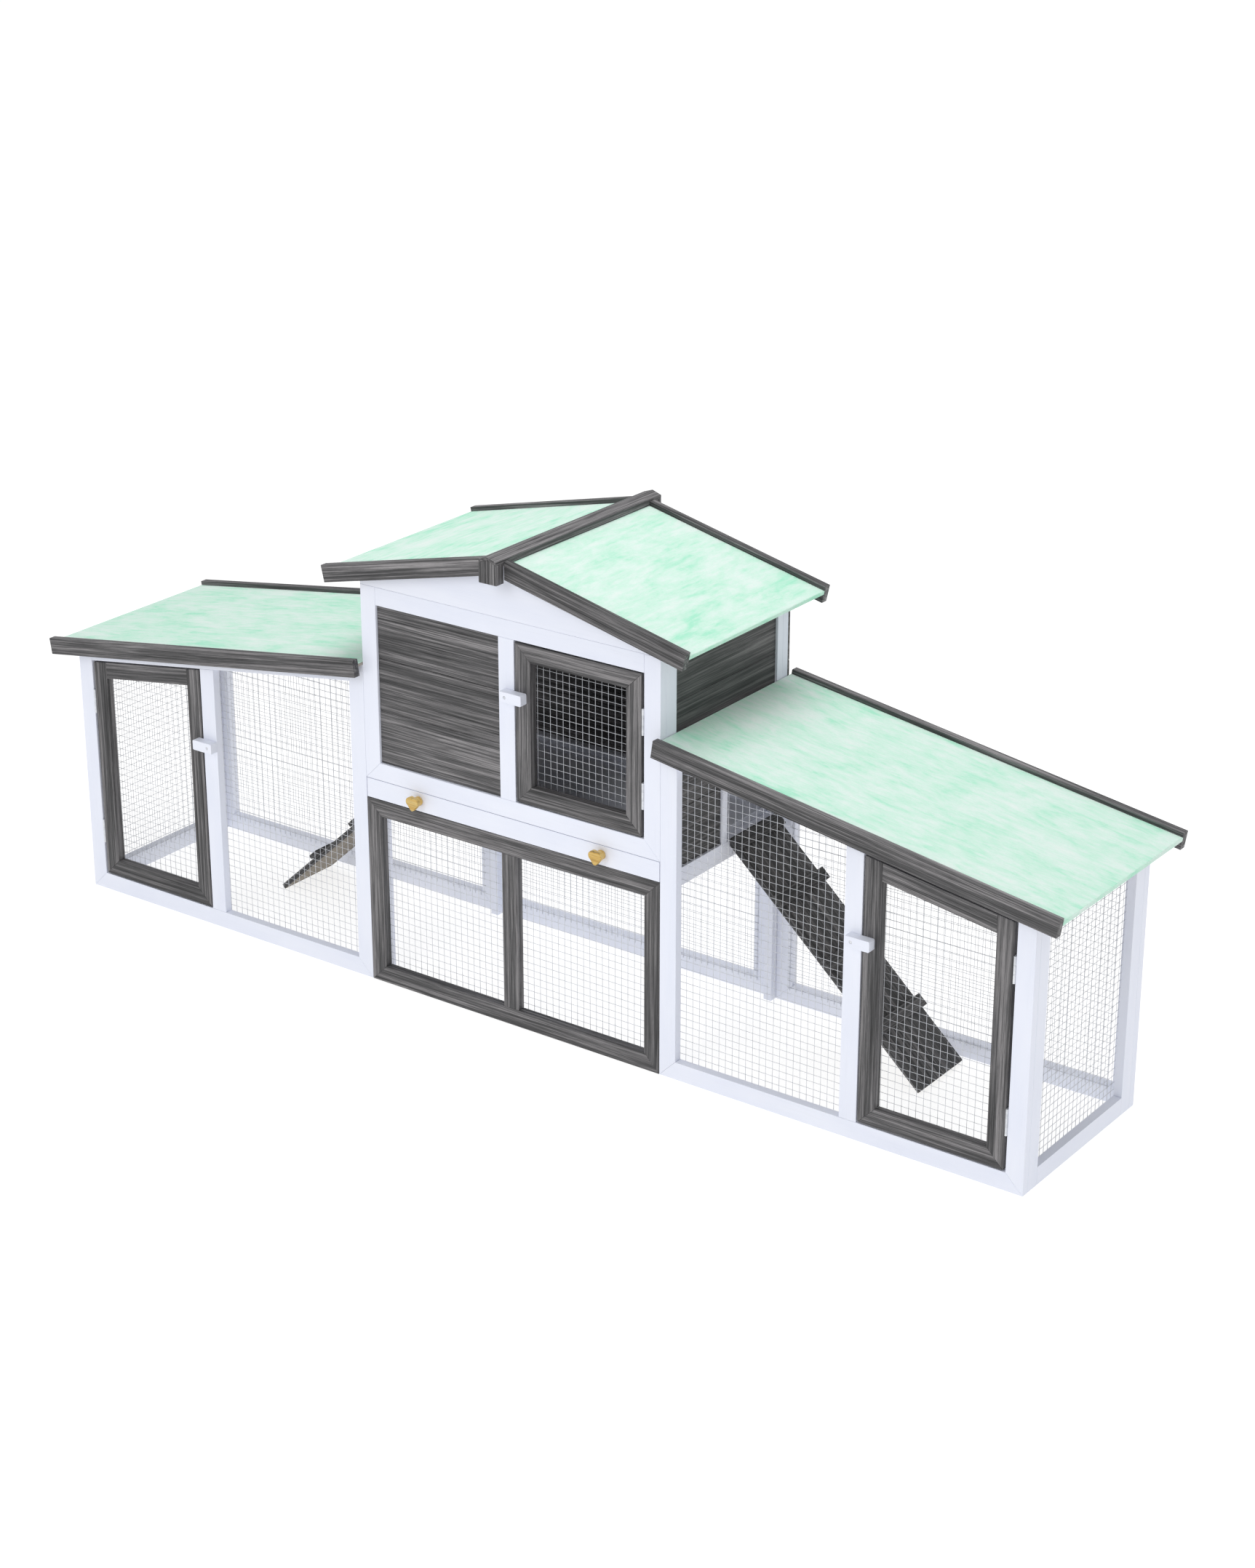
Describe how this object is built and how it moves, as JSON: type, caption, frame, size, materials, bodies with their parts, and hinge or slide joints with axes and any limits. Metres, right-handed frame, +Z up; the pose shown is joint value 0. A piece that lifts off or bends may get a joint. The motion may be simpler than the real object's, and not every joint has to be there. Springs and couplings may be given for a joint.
{
  "type": "chicken coop with two side runs",
  "caption": "Small timber poultry coop: raised gabled house with sliding tray, fixed panel below, and a lean-to wire run with ramp and door on each side.",
  "frame": {"origin": "on the ground at the middle of the footprint, halfway between the two runs and between the roof's front and rear ends", "axes": "+X to the right seen from the front, along the two runs; +Y towards the back; +Z up"},
  "size_m": [2.0252, 0.4414, 0.8266],
  "materials": {
    "white_timber": "white paint on softwood",
    "dark_timber": "dark grey stain on softwood",
    "roof_board": "bare board",
    "felt": "mint green mineral roofing felt",
    "wire": "galvanised welded wire",
    "hinge_steel": "zinc plated",
    "tray_sheet": "pale painted board",
    "knob_wood": "clear varnish on pale wood"
  },
  "bodies": {
    "coop": {"left_front_frame": "white_timber", "right_front_frame": "white_timber", "left_rear_frame": "white_timber", "right_rear_frame": "white_timber", "left_end_frame": "white_timber", "right_end_frame": "white_timber", "left_run_mesh": "wire", "right_run_mesh": "wire", "house_front_frame": "white_timber", "house_front_boards": "dark_timber", "gable_board": "white_timber", "house_rear_frame": "white_timber", "house_back_boards": "dark_timber", "house_rear_mesh": "wire", "left_side_frame": "white_timber", "right_side_frame": "white_timber", "left_side_boards": "dark_timber", "right_side_boards": "dark_timber", "lower_panel_frame": "dark_timber", "lower_panel_mesh": "wire", "tray_runners": "white_timber", "left_run_deck": "roof_board", "right_run_deck": "roof_board", "left_run_felt": "felt", "right_run_felt": "felt", "left_run_fascias": "dark_timber", "right_run_fascias": "dark_timber", "house_left_deck": "roof_board", "house_right_deck": "roof_board", "house_left_felt": "felt", "house_right_felt": "felt", "house_fascias": "dark_timber", "ridge_beam": "dark_timber", "ridge_cap": "dark_timber", "king_blocks": "dark_timber", "door_hinge_pins": "hinge_steel", "ramp_hinge_pins": "hinge_steel", "latch_screws": "hinge_steel"},
    "left_run_door": {"left_door_frame": "dark_timber", "left_door_mesh": "wire", "left_door_hinges": "hinge_steel"},
    "right_run_door": {"right_door_frame": "dark_timber", "right_door_mesh": "wire", "right_door_hinges": "hinge_steel"},
    "house_door": {"house_door_frame": "dark_timber", "house_door_mesh": "wire", "house_door_hinges": "hinge_steel"},
    "left_button": {"left_latch": "white_timber"},
    "right_button": {"right_latch": "white_timber"},
    "house_button": {"house_latch": "white_timber"},
    "tray": {"tray_pan": "tray_sheet", "tray_front": "white_timber", "tray_knobs": "knob_wood"},
    "left_ramp": {"left_ramp_board": "dark_timber", "left_ramp_cleats": "dark_timber", "left_ramp_hinges": "hinge_steel"},
    "right_ramp": {"right_ramp_board": "dark_timber", "right_ramp_cleats": "dark_timber", "right_ramp_hinges": "hinge_steel"}
  },
  "joints": [
    {"name": "right_run_door_hinge", "type": "hinge", "parent": "coop", "child": "right_run_door", "pos_m": [0.93175, -0.1775, 0.24], "axis": [0, 0, 1], "range_deg": [0, 110]},
    {"name": "left_run_door_hinge", "type": "hinge", "parent": "coop", "child": "left_run_door", "pos_m": [-0.93175, -0.1775, 0.24], "axis": [0, 0, -1], "range_deg": [0, 110]},
    {"name": "house_door_hinge", "type": "hinge", "parent": "coop", "child": "house_door", "pos_m": [0.26675, -0.1775, 0.54], "axis": [0, 0, 1], "range_deg": [0, 105]},
    {"name": "right_button_turn", "type": "hinge", "parent": "coop", "child": "right_button", "pos_m": [0.6615, -0.187, 0.341], "axis": [0, 1, 0], "continuous": true},
    {"name": "left_button_turn", "type": "hinge", "parent": "coop", "child": "left_button", "pos_m": [-0.6495, -0.187, 0.346], "axis": [0, 1, 0], "continuous": true},
    {"name": "house_button_turn", "type": "hinge", "parent": "coop", "child": "house_button", "pos_m": [0.0075, -0.187, 0.587], "axis": [0, 1, 0], "continuous": true},
    {"name": "tray_slide", "type": "slide", "parent": "coop", "child": "tray", "axis": [0, -1, 0], "range_m": [0, 0.28]},
    {"name": "right_ramp_hinge", "type": "hinge", "parent": "coop", "child": "right_ramp", "pos_m": [0.3032, 0.0755, 0.33236], "axis": [0, -1, 0], "range_deg": [0, 20]},
    {"name": "left_ramp_hinge", "type": "hinge", "parent": "coop", "child": "left_ramp", "pos_m": [-0.3032, 0.0755, 0.33236], "axis": [0, 1, 0], "range_deg": [0, 20]}
  ]
}
